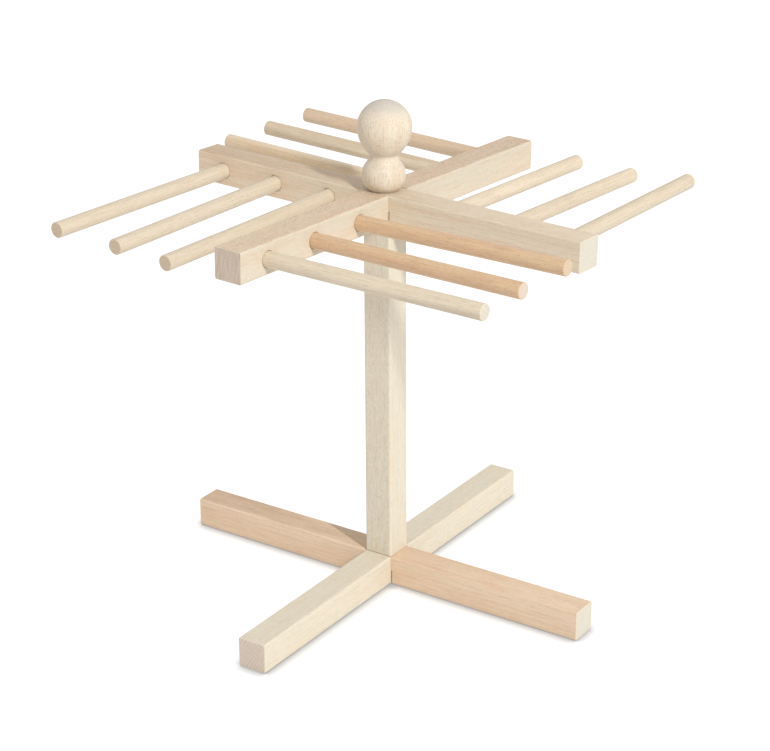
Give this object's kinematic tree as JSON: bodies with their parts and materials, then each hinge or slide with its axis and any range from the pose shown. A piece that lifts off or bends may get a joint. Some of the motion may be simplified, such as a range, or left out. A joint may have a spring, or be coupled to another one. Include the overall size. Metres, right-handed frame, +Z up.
{
  "type": "pasta drying rack",
  "caption": "Free-standing wooden drying rack: a crossed base, a square post and a crossed head with round rods standing out of each arm, clamped by a turned knob.",
  "frame": {"origin": "on the surface that the rack stands on, under the middle of the post", "axes": "+Z up along the post; the base bars lie along X and Y; the head is stored turned about the post, and leans, by the small angles that the picture shows"},
  "size_m": [0.3154, 0.3152, 0.3271],
  "materials": {
    "base_timber_pale": "sanded beech, bare",
    "base_timber_warm": "sanded beech, bare",
    "post_timber": "sanded beech, bare",
    "top_timber_flecked": "sanded beech with ray flecks, bare",
    "top_timber_plain": "sanded beech, bare",
    "rod_timber": "sanded beech, bare",
    "knob_timber": "turned beech, bare",
    "zinc_screw": "zinc plated",
    "zinc_stud": "zinc plated",
    "brass_insert": "turned brass"
  },
  "bodies": {
    "stand": {"base_bar_lower": "base_timber_pale", "base_bar_upper": "base_timber_warm", "base_screw": "zinc_screw", "post": "post_timber", "post_insert": "brass_insert"},
    "head": {"top_bar_lower": "top_timber_flecked", "top_bar_upper": "top_timber_plain", "rod_front_right_1": "rod_timber", "rod_front_right_2": "rod_timber", "rod_front_right_3": "rod_timber", "rod_back_right_1": "rod_timber", "rod_back_right_2": "rod_timber", "rod_back_right_3": "rod_timber", "rod_back_left_1": "rod_timber", "rod_back_left_2": "rod_timber", "rod_back_left_3": "rod_timber", "rod_front_left_1": "rod_timber", "rod_front_left_2": "rod_timber", "rod_front_left_3": "rod_timber"},
    "stud": {"knob_stud": "zinc_stud"},
    "knob": {"knob": "knob_timber"}
  },
  "joints": [
    {"name": "head_swivel", "type": "hinge", "parent": "stand", "child": "head", "pos_m": [0, 0, 0.25], "axis": [0.0099, 0.0204, 0.9997], "continuous": true},
    {"name": "knob_lift", "type": "slide", "parent": "stand", "child": "stud", "axis": [0.0099, 0.0204, 0.9997], "range_m": [0, 0.0125]},
    {"name": "knob_turn", "type": "hinge", "parent": "stud", "child": "knob", "pos_m": [0.0002, 0.00041, 0.26999], "axis": [0.0099, 0.0204, 0.9997], "range_deg": [0, 4500]}
  ],
  "couplings": [
    {"joint": "knob_lift", "follows": "knob_turn", "m_per_rad": 0.00015915}
  ]
}
